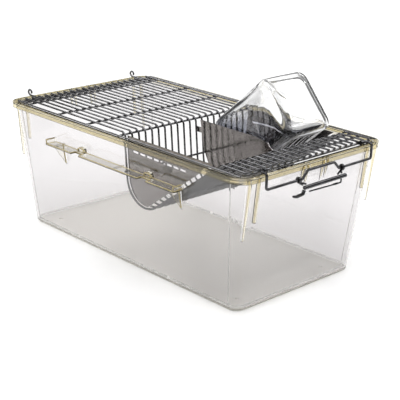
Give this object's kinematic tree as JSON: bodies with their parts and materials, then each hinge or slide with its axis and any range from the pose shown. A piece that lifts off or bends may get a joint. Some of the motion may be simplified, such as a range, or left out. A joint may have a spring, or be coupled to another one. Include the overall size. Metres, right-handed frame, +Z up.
{
  "type": "hamster cage",
  "caption": "Clear tub cage with a wire lid that dips into a feed hopper, a steel divider, a leaning water bottle, a card rail and a wire bail latch.",
  "frame": {"origin": "centre of the tub's flat underside", "axes": "+X along the long side towards the latch end, +Y across towards the bottle side, +Z up"},
  "size_m": [0.4902, 0.2752, 0.2566],
  "materials": {
    "tub_clear": "clear moulded polycarbonate",
    "holder_clear": "clear moulded polycarbonate, faintly amber",
    "bottle_clear": "clear blow-moulded plastic",
    "gasket": "matte",
    "steel_sheet": "polished sheet",
    "steel_bright": "bright",
    "steel_latch": "satin",
    "steel_wire": "electropolished wire"
  },
  "bodies": {
    "tub": {"tub": "tub_clear", "card_holder": "holder_clear"},
    "divider": {"hopper_divider": "steel_sheet"},
    "bottle": {"bottle": "bottle_clear", "bottle_gasket": "gasket", "bottle_cap": "steel_bright", "drinking_spout": "steel_bright"},
    "bail": {"bail": "steel_latch"},
    "latch": {"latch_leg_back": "steel_latch", "latch_leg_front": "steel_latch", "latch_rod": "steel_latch", "latch_spring": "steel_latch", "latch_tongue": "steel_latch"},
    "lid": {"bail_eye_back": "steel_latch", "bail_eye_front": "steel_latch", "hopper_plate_back": "steel_sheet", "hopper_plate_front": "steel_sheet", "hopper_side_wire": "steel_wire", "hopper_slope_wire": "steel_wire", "lid_bar_01": "steel_wire", "lid_bar_02": "steel_wire", "lid_bar_03": "steel_wire", "lid_bar_04": "steel_wire", "lid_bar_05": "steel_wire", "lid_bar_06": "steel_wire", "lid_bar_07": "steel_wire", "lid_bar_08": "steel_wire", "lid_bar_09": "steel_wire", "lid_bar_10": "steel_wire", "lid_bar_11": "steel_wire", "lid_bar_12": "steel_wire", "lid_bar_13": "steel_wire", "lid_bar_14": "steel_wire", "lid_bar_15": "steel_wire", "lid_bar_16": "steel_wire", "lid_bar_17": "steel_wire", "lid_bar_18": "steel_wire", "lid_bar_19": "steel_wire", "lid_bar_20": "steel_wire", "lid_bar_21": "steel_wire", "lid_crest_wire": "steel_wire", "lid_cross_wire_1": "steel_wire", "lid_cross_wire_2": "steel_wire", "lid_cross_wire_3": "steel_wire", "lid_cross_wire_4": "steel_wire", "lid_cross_wire_5": "steel_wire", "lid_end_rod_left_inner": "steel_wire", "lid_end_rod_left_outer": "steel_wire", "lid_end_rod_right": "steel_wire", "lid_side_rod_back": "steel_wire", "lid_side_rod_front": "steel_wire", "rear_hook_back": "steel_wire", "rear_hook_front": "steel_wire"}
  },
  "joints": [
    {"name": "lid_lift", "type": "slide", "parent": "tub", "child": "lid", "axis": [0, 0, 1], "range_m": [0, 0.15]},
    {"name": "divider_lift", "type": "slide", "parent": "lid", "child": "divider", "axis": [0, 0, 1], "range_m": [0, 0.09]},
    {"name": "bottle_lift", "type": "slide", "parent": "lid", "child": "bottle", "axis": [0.7547, 0, 0.6561], "range_m": [0, 0.12]},
    {"name": "bail_swing", "type": "hinge", "parent": "lid", "child": "bail", "pos_m": [0.2338, 0, 0.1862], "axis": [0, -1, 0], "range_deg": [0, 110]},
    {"name": "latch_swing", "type": "hinge", "parent": "bail", "child": "latch", "pos_m": [0.2445, 0, 0.1665], "axis": [0, -1, 0], "range_deg": [0, 70]}
  ]
}
